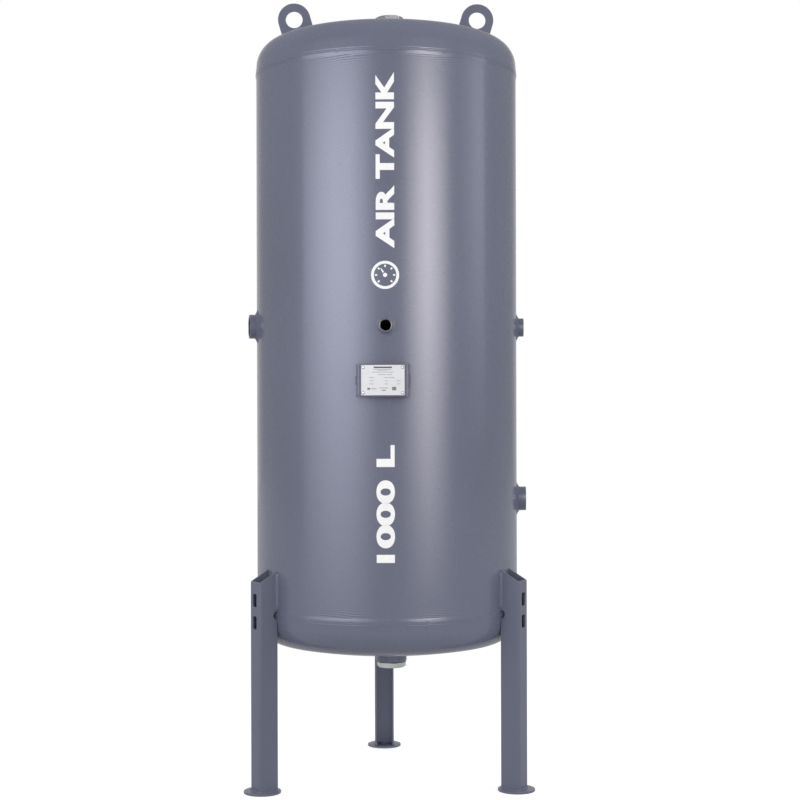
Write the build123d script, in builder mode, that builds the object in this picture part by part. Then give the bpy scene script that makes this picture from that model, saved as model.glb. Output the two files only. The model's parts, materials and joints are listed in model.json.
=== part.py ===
from build123d import *
from math import asin, atan2, cos, degrees, hypot, radians, sin, sqrt
import os

# Vertical air receiver: a welded steel pressure vessel on three channel legs.
# Millimetres. The origin is on the vessel's axis at floor level, +Z up, and the
# front of the vessel, with the nameplate and the gauge socket, faces -Y.
# An azimuth is an angle in degrees from the front, positive towards +X.

# ---- driving dimensions ------------------------------------------------------

# Vessel
shell_diameter = 800.0
shell_wall = 5.0
shell_length = 1630.0
bottom_seam_height = 523.0
head_overhang = 1.5
head_wall = 6.0
head_straight_flange = 25.0
head_crown_radius = 1700.0
head_knuckle_radius = 80.0
girth_bead_width = 18.0
girth_bead_height = 2.0
long_bead_width = 14.0
long_bead_height = 1.8
long_bead_azimuth = 150.0

# End bosses with a 2 1/2 inch pipe thread, and their hexagon plugs
boss_offset_x = 12.0
boss_diameter = 95.0
boss_stand_out = 33.0
boss_inside = 8.0
boss_thread_diameter = 73.7
boss_rim_chamfer = 2.0
boss_weld_foot = 9.0
boss_weld_rise = 8.0
thread_running_clearance = 0.05
plug_across_flats = 80.0
plug_head_height = 16.0
plug_thread_length = 18.5
plug_wall = 7.0
seal_thickness = 2.0
seal_inset = 2.5
seal_bore_clearance = 0.75
plug_turn = {"top": 8.0, "bottom": 16.0}

# Screwed sockets in the shell: azimuth, height above the bottom seam, diameter of
# the threaded bore, wall round it, how far the socket stands out of the shell, and
# the foot of the weld round it
sockets = {
    "inlet_socket": (-81.5, 860.0, 56.66, 8.2, 25.0, 15.0),
    "relief_socket": (85.5, 858.0, 44.84, 5.6, 22.0, 15.0),
    "outlet_socket": (85.5, 332.0, 56.66, 8.2, 28.0, 15.0),
    "gauge_socket": (-1.9, 846.0, 30.3, 4.9, 13.0, 7.0),
}
socket_inside = 5.0
socket_rim_chamfer = 1.5
socket_weld_slope = 0.5
socket_weld_hollow = 0.08
weld_root_gap = 0.2
bead_sink = 0.5

# Lifting lugs
lug_inset = 137.5
lug_tilt = 16.5
lug_reach = 67.0
lug_hole_diameter = 52.0
lug_eye_wall = 24.0
lug_thickness = 10.0
lug_bead = 6.0

# Legs: folded channels, open towards the vessel's axis
leg_azimuths = {"left": -60.0, "right": 60.0, "rear": 180.0}
leg_width = 62.0
leg_stand_out = 58.0
leg_wall = 5.0
leg_bend_radius = 8.0
leg_flange_inset = 1.5
leg_web_top = 97.0
leg_flange_top = 131.0
leg_slot_width = 24.0
leg_slot_height = 39.0
leg_slot_corner = 6.0
leg_slot_heights = (45.0, -20.5)
leg_notch_clearance = 4.0
leg_bead = 6.0
leg_bead_end_gap = 6.0

# Feet
foot_diameter = 110.0
foot_thickness = 6.0
foot_edge_chamfer = 1.0
anchor_hole_diameter = 18.0
anchor_from_web = 24.0
foot_bead = 4.0
foot_bead_end_gap = 4.0

# Nameplate
nameplate_azimuth = -3.0
nameplate_height = 689.5
bracket_side_margin = 9.5
bracket_end_margin = 3.75
bracket_stand_out = 18.0
bracket_wall = 1.5
bracket_wing_spread = 4.5
bracket_bend_radius = 2.5
bracket_bead = 3.0
bracket_bead_length = 28.0
plate_width = 123.0
plate_height = 85.5
plate_thickness = 0.8
plate_corner_radius = 2.0
rivet_side_inset = 5.5
rivet_end_inset = 6.5
rivet_shank_radius = 1.6
rivet_head_radius = 3.0
rivet_head_height = 1.2
rivet_tail_length = 1.5
rivet_hole_clearance = 0.1

# ---- worked out from them ----------------------------------------------------

shell_radius = shell_diameter / 2
shell_bore_radius = shell_radius - shell_wall
head_radius = shell_radius + head_overhang
top_seam_height = bottom_seam_height + shell_length

knuckle_centre_x = head_radius - head_knuckle_radius
crown_rise = sqrt((head_crown_radius - head_knuckle_radius) ** 2 - knuckle_centre_x**2)
crown_centre_y = head_straight_flange - crown_rise
head_apex_y = crown_centre_y + head_crown_radius
top_crown_centre_z = top_seam_height + crown_centre_y

boss_radius = boss_diameter / 2
boss_top_y = head_apex_y + boss_stand_out
plug_thread_radius = boss_thread_diameter / 2 - thread_running_clearance

leg_outer_radius = shell_radius + leg_stand_out
leg_flange_radius = shell_radius - leg_flange_inset
leg_depth = leg_outer_radius - leg_flange_radius
anchor_radius = leg_outer_radius - anchor_from_web

bracket_front_radius = shell_radius + bracket_stand_out
nameplate_z = bottom_seam_height + nameplate_height

os.makedirs("parts", exist_ok=True)


def save(builder, name):
    """Label a finished piece and write it to its own file."""
    builder.part.label = name
    export_step(builder.part, f"parts/{name}.step")


def end_section(seam_height, up):
    """Upright plane through the axis: local x is the radius, local y leaves the vessel."""
    return Plane(origin=(0, 0, seam_height), x_dir=(1, 0, 0), z_dir=(0, -up, 0))


def boss_plane(seam_height, up, distance):
    """Level plane on a boss's axis, a given distance beyond the seam, facing outwards."""
    height = seam_height + up * distance
    return Plane(origin=(boss_offset_x, 0, height), x_dir=(1, 0, 0), z_dir=(0, 0, up))


def boss_section(seam_height, up, distance):
    """Upright plane through a boss's axis, its origin that distance beyond the seam."""
    height = seam_height + up * distance
    return Plane(origin=(boss_offset_x, 0, height), x_dir=(1, 0, 0), z_dir=(0, -up, 0))


def outward(azimuth):
    """Horizontal unit vector that leaves the axis at an azimuth."""
    return Vector(sin(radians(azimuth)), -cos(radians(azimuth)), 0)


def along_shell(azimuth):
    """Horizontal unit vector along the shell at an azimuth."""
    return outward(azimuth).cross(Vector(0, 0, 1))


def head_outline(wall):
    """Dished line from the seam to the apex, set in from the outer face by wall."""
    radius = head_radius - wall
    knuckle = head_knuckle_radius - wall
    crown = head_crown_radius - wall
    reach = hypot(knuckle_centre_x, crown_rise)
    join = (
        knuckle_centre_x + knuckle * knuckle_centre_x / reach,
        head_straight_flange + knuckle * crown_rise / reach,
    )
    Line((radius, 0), (radius, head_straight_flange))
    bend = TangentArc((radius, head_straight_flange), join, tangent=(0, 1))
    TangentArc(join, (0, crown_centre_y + crown), tangent=bend % 1)


ends = {"top": (top_seam_height, 1), "bottom": (bottom_seam_height, -1)}
boss_axis = Axis((boss_offset_x, 0, 0), (0, 0, 1))

# ---- outer form: what is welded on is trimmed to it ---------------------------

with BuildPart() as outer_form:
    with BuildSketch(Plane.XY.offset(bottom_seam_height)):
        Circle(shell_radius)
    extrude(amount=shell_length)
    for seam_height, up in ends.values():
        with BuildSketch(end_section(seam_height, up)):
            with BuildLine():
                head_outline(0)
                Line((0, head_apex_y), (0, 0))
                Line((0, 0), (head_radius, 0))
            make_face()
        revolve(axis=Axis.Z)

# ---- shell ------------------------------------------------------------------

with BuildPart() as shell:
    with BuildSketch(Plane.XY.offset(bottom_seam_height)):
        Circle(shell_radius)
        Circle(shell_bore_radius, mode=Mode.SUBTRACT)
    extrude(amount=shell_length)
    for azimuth, height, bore, wall, _, _ in sockets.values():
        hole_plane = Plane(
            origin=(0, 0, bottom_seam_height + height),
            x_dir=along_shell(azimuth),
            z_dir=outward(azimuth),
        )
        with BuildSketch(hole_plane):
            Circle(bore / 2 + wall + weld_root_gap)
        extrude(amount=shell_diameter, mode=Mode.SUBTRACT)
save(shell, "shell_cylinder")

# ---- dished heads, girth welds, bosses and plugs, the same at both ends --------

for end, (seam_height, up) in ends.items():
    with BuildPart() as head:
        with BuildSketch(end_section(seam_height, up)):
            with BuildLine():
                head_outline(0)
                Line((0, head_apex_y), (0, head_apex_y - head_wall))
                head_outline(head_wall)
                Line((head_radius - head_wall, 0), (head_radius, 0))
            make_face()
        revolve(axis=Axis.Z)
        with BuildSketch(boss_plane(seam_height, up, 0)):
            Circle(boss_radius + weld_root_gap)
        extrude(amount=boss_top_y, mode=Mode.SUBTRACT)
    save(head, f"{end}_head")

    with BuildPart() as girth_weld:
        with BuildSketch(end_section(seam_height, up)):
            with BuildLine():
                half = girth_bead_width / 2
                crest = (head_radius + girth_bead_height, 0)
                ThreePointArc((shell_radius, -half), crest, (head_radius, half))
                Line((head_radius, half), (head_radius, 0))
                Line((head_radius, 0), (shell_radius, 0))
                Line((shell_radius, 0), (shell_radius, -half))
            make_face()
        revolve(axis=Axis.Z)
    save(girth_weld, f"{end}_girth_weld")

    boss_length = boss_stand_out + head_wall + boss_inside
    with BuildPart() as boss:
        with BuildSketch(boss_plane(seam_height, up, boss_top_y)):
            Circle(boss_radius)
            Circle(boss_thread_diameter / 2, mode=Mode.SUBTRACT)
        extrude(amount=-boss_length)
        rims = boss.edges().filter_by(GeomType.CIRCLE).group_by(Axis.Z)[-1 if up > 0 else 0]
        chamfer(rims, boss_rim_chamfer)
    save(boss, f"{end}_boss")

    with BuildPart() as boss_weld:
        with BuildSketch(boss_section(seam_height, up, head_apex_y)):
            with BuildLine():
                toe = boss_radius + boss_weld_foot * (1 + bead_sink)
                Polyline(
                    (boss_radius, -boss_weld_rise * bead_sink),
                    (toe, -boss_weld_rise * bead_sink),
                    (boss_radius, boss_weld_rise),
                    close=True,
                )
            make_face()
        revolve(axis=boss_axis)
        with Locations((0, 0, seam_height + up * crown_centre_y)):
            Sphere(head_crown_radius, mode=Mode.SUBTRACT)
    save(boss_weld, f"{end}_boss_weld")

    with BuildPart() as seal:
        with BuildSketch(boss_plane(seam_height, up, boss_top_y)):
            Circle(boss_radius - seal_inset)
            Circle(plug_thread_radius + seal_bore_clearance, mode=Mode.SUBTRACT)
        extrude(amount=seal_thickness)
    save(seal, f"{end}_plug_seal")

    corner_radius = plug_across_flats / 2 / cos(radians(30))
    bevel_drop = (corner_radius - plug_across_flats / 2) * sin(radians(30)) / cos(radians(30))
    plug_seat_y = boss_top_y + seal_thickness
    with BuildPart() as plug:
        with BuildSketch(boss_plane(seam_height, up, plug_seat_y)):
            RegularPolygon(corner_radius, 6, rotation=plug_turn[end])
        extrude(amount=plug_head_height)
        with BuildSketch(boss_section(seam_height, up, plug_seat_y)):
            with BuildLine():
                Polyline(
                    (plug_across_flats / 2, plug_head_height),
                    (corner_radius, plug_head_height),
                    (corner_radius, plug_head_height - bevel_drop),
                    close=True,
                )
            make_face()
        revolve(axis=boss_axis, mode=Mode.SUBTRACT)
        with BuildSketch(boss_plane(seam_height, up, plug_seat_y)):
            Circle(plug_thread_radius)
            Circle(plug_thread_radius - plug_wall, mode=Mode.SUBTRACT)
        extrude(amount=-(plug_thread_length + seal_thickness))
    save(plug, f"{end}_plug")

# ---- lengthwise seam of the rolled shell --------------------------------------

long_seam_plane = Plane(
    origin=(0, 0, bottom_seam_height + girth_bead_width / 2),
    x_dir=along_shell(long_bead_azimuth),
    z_dir=(0, 0, 1),
)
with BuildPart() as long_seam:
    with BuildSketch(long_seam_plane):
        with BuildLine():
            half = long_bead_width / 2
            foot = shell_radius - long_bead_height
            ThreePointArc((-half, foot), (0, shell_radius + long_bead_height), (half, foot))
            Line((half, foot), (-half, foot))
        make_face()
    extrude(amount=shell_length - girth_bead_width)
    add(outer_form.part, mode=Mode.SUBTRACT)
save(long_seam, "long_seam_weld")

# ---- screwed sockets and the fillet welds round them ---------------------------

for name, (azimuth, height, bore, wall, stand_out, weld_foot) in sockets.items():
    socket_radius = bore / 2 + wall
    weld_rise = weld_foot * socket_weld_slope
    weld_hollow = weld_foot * socket_weld_hollow
    foot_point = outward(azimuth) * shell_radius + Vector(0, 0, bottom_seam_height + height)
    socket_plane = Plane(origin=foot_point, x_dir=along_shell(azimuth), z_dir=outward(azimuth))
    socket_section = Plane(origin=foot_point, x_dir=(0, 0, 1), z_dir=along_shell(azimuth))

    with BuildPart() as socket:
        with BuildSketch(socket_plane.offset(stand_out)):
            Circle(socket_radius)
            Circle(bore / 2, mode=Mode.SUBTRACT)
        extrude(amount=-(stand_out + shell_wall + socket_inside))
        outer_rims = socket.faces().sort_by(Axis(foot_point, outward(azimuth)))[-1].edges()
        chamfer(outer_rims, socket_rim_chamfer)
    save(socket, name)

    with BuildPart() as socket_weld:
        with BuildSketch(socket_section):
            drop = weld_rise * bead_sink
            heel = (socket_radius, weld_rise)
            toe = (socket_radius + weld_foot, -drop)
            hollow = (
                (heel[0] + toe[0]) / 2 - weld_hollow,
                (heel[1] + toe[1]) / 2 - weld_hollow,
            )
            with BuildLine():
                ThreePointArc(heel, hollow, toe)
                Line(toe, (socket_radius, -drop))
                Line((socket_radius, -drop), heel)
            make_face()
        revolve(axis=Axis(foot_point, outward(azimuth)))
        add(outer_form.part, mode=Mode.SUBTRACT)
    save(socket_weld, f"{name}_weld")

# ---- lifting lugs --------------------------------------------------------------

lug_outer_radius = lug_hole_diameter / 2 + lug_eye_wall
lug_root_x = head_radius - lug_inset
lug_root_z = top_crown_centre_z + sqrt(head_crown_radius**2 - lug_root_x**2)
lug_eye_x = lug_root_x + lug_reach * sin(radians(lug_tilt))
lug_eye_z = lug_root_z + lug_reach * cos(radians(lug_tilt))
lug_root_angle = degrees(asin(lug_root_x / head_crown_radius))
lug_half_angle = degrees(asin(lug_outer_radius / head_crown_radius))

for side, sign in {"left": -1, "right": 1}.items():
    with BuildPart() as lug:
        with BuildSketch(Plane.XZ):
            root = (sign * lug_root_x, lug_root_z)
            eye = (sign * lug_eye_x, lug_eye_z)
            SlotCenterPoint(root, eye, 2 * lug_outer_radius)
            with Locations(eye):
                Circle(lug_hole_diameter / 2, mode=Mode.SUBTRACT)
        extrude(amount=lug_thickness / 2, both=True)
        add(outer_form.part, mode=Mode.SUBTRACT)
    save(lug, f"lifting_lug_{side}")

    start = radians(sign * lug_root_angle - lug_half_angle)
    bead_section = Plane(
        origin=(0, 0, top_crown_centre_z),
        x_dir=(0, 1, 0),
        z_dir=(cos(start), 0, -sin(start)),
    )
    with BuildPart() as lug_weld:
        for face in (-1, 1):
            with BuildSketch(bead_section):
                face_y = face * lug_thickness / 2
                toe_y = face_y + face * lug_bead * (1 + bead_sink)
                root_radius = head_crown_radius - lug_bead * bead_sink
                with BuildLine():
                    Polyline(
                        (face_y, root_radius),
                        (face_y, head_crown_radius + lug_bead),
                        (toe_y, root_radius),
                        close=True,
                    )
                make_face()
            crown_axis = Axis((0, 0, top_crown_centre_z), (0, 1, 0))
            revolve(axis=crown_axis, revolution_arc=2 * lug_half_angle)
        add(outer_form.part, mode=Mode.SUBTRACT)
    save(lug_weld, f"lifting_lug_{side}_weld")

# ---- legs, their welds to the shell, and the feet -------------------------------

leg_notch_radius = girth_bead_width / 2 + leg_notch_clearance
leg_web_top_z = bottom_seam_height + leg_web_top
leg_flange_top_z = bottom_seam_height + leg_flange_top

for side, azimuth in leg_azimuths.items():
    leg_base = Plane(origin=(0, 0, foot_thickness), x_dir=along_shell(azimuth), z_dir=(0, 0, 1))
    leg_side = Plane(origin=(0, 0, 0), x_dir=outward(azimuth), z_dir=along_shell(azimuth))
    leg_front = Plane(
        origin=outward(azimuth) * leg_outer_radius,
        x_dir=-along_shell(azimuth),
        z_dir=outward(azimuth),
    )

    with BuildPart() as leg:
        with BuildSketch(leg_base) as channel:
            with Locations((0, leg_outer_radius)):
                Rectangle(leg_width, leg_depth, align=(Align.CENTER, Align.MAX))
            outer_bends = channel.vertices().group_by(Axis.Y)[-1]
            fillet(outer_bends, leg_bend_radius)
            with Locations((0, leg_flange_radius)):
                hollow_width = leg_width - 2 * leg_wall
                hollow_depth = leg_depth - leg_wall
                Rectangle(
                    hollow_width,
                    hollow_depth,
                    align=(Align.CENTER, Align.MIN),
                    mode=Mode.SUBTRACT,
                )
        extrude(amount=leg_flange_top_z - foot_thickness)
        with BuildSketch(leg_side):
            with BuildLine():
                Polyline(
                    (leg_flange_radius, leg_flange_top_z),
                    (leg_outer_radius, leg_web_top_z),
                    (leg_outer_radius, leg_flange_top_z),
                    close=True,
                )
            make_face()
            with Locations((leg_flange_radius, bottom_seam_height)):
                Circle(leg_notch_radius)
        extrude(amount=leg_width, both=True, mode=Mode.SUBTRACT)
        with BuildSketch(leg_front):
            with Locations(*[(0, bottom_seam_height + h) for h in leg_slot_heights]):
                RectangleRounded(leg_slot_width, leg_slot_height, leg_slot_corner)
        extrude(amount=-2 * leg_wall, mode=Mode.SUBTRACT)
        add(outer_form.part, mode=Mode.SUBTRACT)
    save(leg, f"leg_{side}")

    bead_bottom = bottom_seam_height + leg_notch_radius + leg_bead_end_gap
    bead_top = leg_flange_top_z - leg_bead_end_gap
    contact = sqrt(shell_radius**2 - (leg_width / 2) ** 2)
    with BuildPart() as leg_weld:
        with BuildSketch(leg_base.offset(bead_bottom - foot_thickness)):
            for flange in (-1, 1):
                with BuildLine():
                    flange_x = flange * leg_width / 2
                    Polyline(
                        (flange_x, contact - leg_bead),
                        (flange_x, contact + leg_bead),
                        (flange_x + flange * leg_bead * 2, contact - leg_bead),
                        close=True,
                    )
                make_face()
        extrude(amount=bead_top - bead_bottom)
        add(outer_form.part, mode=Mode.SUBTRACT)
    save(leg_weld, f"leg_{side}_weld")

    foot_plane = Plane(
        origin=outward(azimuth) * anchor_radius, x_dir=along_shell(azimuth), z_dir=(0, 0, 1)
    )
    with BuildPart() as foot:
        with BuildSketch(foot_plane):
            Circle(foot_diameter / 2)
            Circle(anchor_hole_diameter / 2, mode=Mode.SUBTRACT)
        extrude(amount=foot_thickness)
        rim = foot.faces().sort_by(Axis.Z)[-1].outer_wire().edges()
        chamfer(rim, foot_edge_chamfer)
    save(foot, f"foot_{side}")

    with BuildPart() as foot_weld:
        with BuildSketch(leg_base) as bead_base:
            with Locations((0, leg_outer_radius)):
                Rectangle(leg_width, leg_depth, align=(Align.CENTER, Align.MAX))
            fillet(bead_base.vertices().group_by(Axis.Y)[-1], leg_bend_radius)
            offset(amount=foot_bead)
        extrude(amount=foot_bead, taper=45)
        with BuildSketch(leg_base) as leg_print:
            with Locations((0, leg_outer_radius)):
                Rectangle(leg_width, leg_depth, align=(Align.CENTER, Align.MAX))
            fillet(leg_print.vertices().group_by(Axis.Y)[-1], leg_bend_radius)
        extrude(amount=foot_bead, mode=Mode.SUBTRACT)
        with BuildSketch(leg_base):
            with Locations((0, leg_flange_radius + foot_bead_end_gap)):
                Rectangle(leg_width * 2, leg_depth, align=(Align.CENTER, Align.MAX))
        extrude(amount=foot_bead, mode=Mode.SUBTRACT)
    save(foot_weld, f"foot_{side}_weld")

# ---- nameplate: folded bracket, tack welds, data plate and its rivets ------------

bracket_height = plate_height + 2 * bracket_end_margin
bracket_middle_radius = bracket_front_radius - bracket_wall / 2
bracket_half = plate_width / 2 + bracket_side_margin - bracket_wall / 2
rivet_pitch_x = plate_width - 2 * rivet_side_inset
rivet_pitch_z = plate_height - 2 * rivet_end_inset
wing_end_radius = shell_radius - bracket_stand_out
wing_slope = bracket_wing_spread / bracket_stand_out
wing_reach = bracket_half + wing_slope * (bracket_middle_radius - wing_end_radius)
wing_skin = bracket_wall / 2 / cos(atan2(bracket_wing_spread, bracket_stand_out))

plate_across = along_shell(nameplate_azimuth)
bracket_level = Plane(origin=(0, 0, nameplate_z), x_dir=plate_across, z_dir=(0, 0, 1))
bracket_face = Plane(
    origin=outward(nameplate_azimuth) * bracket_front_radius + Vector(0, 0, nameplate_z),
    x_dir=-plate_across,
    z_dir=outward(nameplate_azimuth),
)

with BuildPart() as bracket:
    with BuildSketch(bracket_level.offset(-bracket_height / 2)):
        with BuildLine():
            FilletPolyline(
                (-wing_reach, wing_end_radius),
                (-bracket_half, bracket_middle_radius),
                (bracket_half, bracket_middle_radius),
                (wing_reach, wing_end_radius),
                radius=bracket_bend_radius,
            )
        trace(line_width=bracket_wall)
    extrude(amount=bracket_height)
    add(outer_form.part, mode=Mode.SUBTRACT)
    with BuildSketch(bracket_face):
        with GridLocations(rivet_pitch_x, rivet_pitch_z, 2, 2):
            Circle(rivet_shank_radius + rivet_hole_clearance)
    extrude(amount=-2 * bracket_wall, mode=Mode.SUBTRACT)
save(bracket, "nameplate_bracket")

with BuildPart() as bracket_weld:
    with BuildSketch(bracket_level.offset(-bracket_bead_length / 2)):
        for wing in (-1, 1):
            wing_foot = wing_reach + wing_skin
            bead_tip_radius = sqrt(shell_radius**2 - wing_foot**2) + bracket_bead
            bead_depth = bead_tip_radius - wing_end_radius
            with BuildLine():
                Polyline(
                    (wing * wing_foot, wing_end_radius),
                    (wing * (wing_foot - wing_slope * bead_depth), bead_tip_radius),
                    (wing * (wing_foot + bead_depth), wing_end_radius),
                    close=True,
                )
            make_face()
    extrude(amount=bracket_bead_length)
    add(outer_form.part, mode=Mode.SUBTRACT)
save(bracket_weld, "nameplate_bracket_weld")

with BuildPart() as data_plate:
    with BuildSketch(bracket_face):
        RectangleRounded(plate_width, plate_height, plate_corner_radius)
        with GridLocations(rivet_pitch_x, rivet_pitch_z, 2, 2):
            Circle(rivet_shank_radius + rivet_hole_clearance, mode=Mode.SUBTRACT)
    extrude(amount=plate_thickness)
save(data_plate, "data_plate")

with BuildPart() as rivets:
    with BuildSketch(bracket_face.offset(plate_thickness)):
        with GridLocations(rivet_pitch_x, rivet_pitch_z, 2, 2):
            Circle(rivet_shank_radius)
    extrude(amount=-(plate_thickness + bracket_wall + rivet_tail_length))
    with BuildSketch(bracket_face.offset(plate_thickness)):
        with GridLocations(rivet_pitch_x, rivet_pitch_z, 2, 2):
            Circle(rivet_head_radius)
    extrude(amount=rivet_head_height)
    face_axis = Axis(bracket_face.origin, bracket_face.z_dir)
    head_rims = rivets.edges().filter_by(GeomType.CIRCLE).group_by(face_axis)[-1]
    chamfer(head_rims, rivet_head_height / 2)
save(rivets, "data_plate_rivets")
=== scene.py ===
import json
from functools import partial
from math import atan2, cos, floor, pi, radians, sin, sqrt, tan

import bmesh
import bpy
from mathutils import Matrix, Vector, noise


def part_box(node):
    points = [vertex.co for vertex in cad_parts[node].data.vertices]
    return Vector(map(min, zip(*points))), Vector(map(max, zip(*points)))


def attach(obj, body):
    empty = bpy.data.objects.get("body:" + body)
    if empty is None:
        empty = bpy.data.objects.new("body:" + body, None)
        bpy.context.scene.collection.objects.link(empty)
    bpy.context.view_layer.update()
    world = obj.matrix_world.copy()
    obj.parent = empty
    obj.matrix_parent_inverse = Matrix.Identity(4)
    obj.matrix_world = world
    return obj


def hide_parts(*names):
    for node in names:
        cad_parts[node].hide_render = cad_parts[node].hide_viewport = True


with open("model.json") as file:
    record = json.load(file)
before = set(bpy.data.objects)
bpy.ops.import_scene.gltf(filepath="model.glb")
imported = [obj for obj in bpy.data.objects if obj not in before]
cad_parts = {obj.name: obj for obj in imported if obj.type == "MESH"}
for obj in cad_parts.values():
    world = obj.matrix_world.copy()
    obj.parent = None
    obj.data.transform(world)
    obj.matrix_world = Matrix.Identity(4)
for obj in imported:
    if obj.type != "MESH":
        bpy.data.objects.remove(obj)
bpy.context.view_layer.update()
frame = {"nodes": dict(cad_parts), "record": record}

# Vertical air receiver. Metres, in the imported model's frame: the origin is on the
# vessel's axis at floor level, +Z up, and the front faces -Y. An azimuth is an angle
# in degrees from the front, positive towards +X.

scene = bpy.context.scene
MM = 0.001
UP = Vector((0, 0, 1))

# ---- sizes ----

shell_low, shell_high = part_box("shell_cylinder")
SHELL_RADIUS = shell_high.x
SHELL_BOTTOM = shell_low.z
SHELL_TOP = shell_high.z
SHELL_WALL = 5 * MM
HEAD_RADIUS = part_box("top_head")[1].x
HEAD_WALL = 6 * MM
HEAD_FLANGE = 25 * MM
HEAD_CROWN = 1700 * MM
HEAD_KNUCKLE = 80 * MM
FLANGE_LEAN = radians(5)
FLANGE_SHRINK = 2 * MM
KNUCKLE_X = HEAD_RADIUS - HEAD_KNUCKLE
CROWN_DEPTH = sqrt((HEAD_CROWN - HEAD_KNUCKLE) ** 2 - KNUCKLE_X**2) - HEAD_FLANGE
ENDS = {"top": (SHELL_TOP, 1), "bottom": (SHELL_BOTTOM, -1)}

LEG_AZIMUTHS = {"left": -60, "right": 60, "rear": 180}
LEG_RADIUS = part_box("leg_rear")[1].y
LEG_FLANGE_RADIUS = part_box("leg_rear")[0].y
LEG_HALF_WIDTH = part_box("leg_rear")[1].x
LEG_BEND = 8 * MM
FOOT_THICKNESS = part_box("foot_rear")[1].z
FOOT_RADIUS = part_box("foot_rear")[1].x
LONG_SEAM_AZIMUTH = 150
NAMEPLATE_AZIMUTH = -3
MARKING_AZIMUTH = -2.05

GIRTH_BEAD = 20 * MM
THREAD_PITCH = 2.309 * MM
THREAD_DEPTH = 1.479 * MM
RUNNING_GAP = 0.15 * MM
HOLE_GAP = 0.2 * MM
PORTS = {m["name"]: m for m in frame["record"]["mounts"] if m["name"].endswith("_port")}


def outward(azimuth):
    """Horizontal unit vector that leaves the vessel's axis at an azimuth."""
    return Vector((sin(radians(azimuth)), -cos(radians(azimuth)), 0))


def along_shell(azimuth):
    """Horizontal unit vector round the shell, towards a larger azimuth."""
    return Vector((cos(radians(azimuth)), sin(radians(azimuth)), 0))


def new_object(name, data):
    """An object in the scene."""
    made = bpy.data.objects.new(name, data)
    scene.collection.objects.link(made)
    return made


# ---- camera ----
# The photograph's viewing angle: level, far in front, and turned a little to the left.

CAMERA_AZIMUTH = -1.5
CAMERA_DISTANCE = 4.92
CAMERA_HEIGHT = 1.125
CAMERA_ROLL = 0.15

camera_data = bpy.data.cameras.new("camera")
camera_data.sensor_width = 36.0
camera_data.lens = 71.55
camera_data.shift_x = 0.0165
camera_data.shift_y = 0.01375
camera_data.clip_start = 0.05
camera_data.clip_end = 100.0
camera = new_object("camera", camera_data)
camera.location = outward(CAMERA_AZIMUTH) * CAMERA_DISTANCE + UP * CAMERA_HEIGHT
camera.rotation_euler = (radians(90), radians(CAMERA_ROLL), radians(CAMERA_AZIMUTH))
scene.camera = camera

# ---- node helpers ----


def node(tree, kind, **inputs):
    """A shader node with the given input values."""
    made = tree.nodes.new(kind)
    for name, value in inputs.items():
        made.inputs[name.replace("_", " ")].default_value = value
    return made


def surface_coordinates(tree, scale=(1, 1, 1)):
    """The piece's own coordinates, in metres, stretched by scale."""
    texture = tree.nodes.new("ShaderNodeTexCoord")
    mapping = node(tree, "ShaderNodeMapping", Scale=scale)
    tree.links.new(texture.outputs["Object"], mapping.inputs["Vector"])
    return mapping.outputs["Vector"]


def noise_field(tree, scale, detail=2.0, stretch=(1, 1, 1), roughness=0.5):
    """Noise from 0 to 1 with about scale features in a metre."""
    field = node(tree, "ShaderNodeTexNoise", Scale=scale, Detail=detail, Roughness=roughness)
    tree.links.new(surface_coordinates(tree, stretch), field.inputs["Vector"])
    return field.outputs["Fac"]


def ramp(tree, value, low, high, color_low, color_high):
    """A colour that changes from color_low to color_high as value goes from low to high."""
    made = tree.nodes.new("ShaderNodeValToRGB")
    made.color_ramp.elements[0].position = low
    made.color_ramp.elements[0].color = (*color_low, 1)
    made.color_ramp.elements[1].position = high
    made.color_ramp.elements[1].color = (*color_high, 1)
    tree.links.new(value, made.inputs["Fac"])
    return made.outputs["Color"]


def spread(tree, value, low, high, start=0.0, end=1.0):
    """A value that goes from start to end, such as noise, moved to low..high."""
    made = node(
        tree, "ShaderNodeMapRange", From_Min=start, From_Max=end, To_Min=low, To_Max=high
    )
    tree.links.new(value, made.inputs["Value"])
    return made.outputs["Result"]


def mixed(tree, factor, first, second, kind="MIX"):
    """Two colours, mixed or multiplied by a factor; each may be a socket or a value."""
    made = tree.nodes.new("ShaderNodeMix")
    made.data_type = "RGBA"
    made.blend_type = kind
    sockets = (made.inputs["Factor"], made.inputs[6], made.inputs[7])
    for socket, value in zip(sockets, (factor, first, second)):
        if isinstance(value, bpy.types.NodeSocket):
            tree.links.new(value, socket)
        else:
            socket.default_value = value
    return made.outputs[2]


def computed(tree, operation, *values):
    """The result of a sum on one or two sockets."""
    made = tree.nodes.new("ShaderNodeMath")
    made.operation = operation
    for socket, value in zip(made.inputs, values):
        tree.links.new(value, socket)
    return made.outputs[0]


def bump(tree, height, distance, below=None):
    """A bump of that height in metres, on top of another one."""
    made = node(tree, "ShaderNodeBump", Distance=distance)
    tree.links.new(height, made.inputs["Height"])
    if below is not None:
        tree.links.new(below, made.inputs["Normal"])
    return made.outputs["Normal"]


def new_material(name, **sockets):
    """A material with a Principled shader and those constant socket values."""
    made = bpy.data.materials.new(name)
    made.use_nodes = True
    shader = made.node_tree.nodes["Principled BSDF"]
    for socket, value in sockets.items():
        shader.inputs[socket.replace("_", " ")].default_value = value
    return made, made.node_tree, shader


def feed(tree, shader, **outputs):
    """Link node outputs to the shader's sockets."""
    for socket, output in outputs.items():
        tree.links.new(output, shader.inputs[socket.replace("_", " ")])


def shade(color, factor):
    """A colour, lighter or darker by a factor."""
    return tuple(min(1.0, c * factor) for c in color)


# ---- materials ----

DUST = (0.32, 0.32, 0.33, 1)


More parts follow.
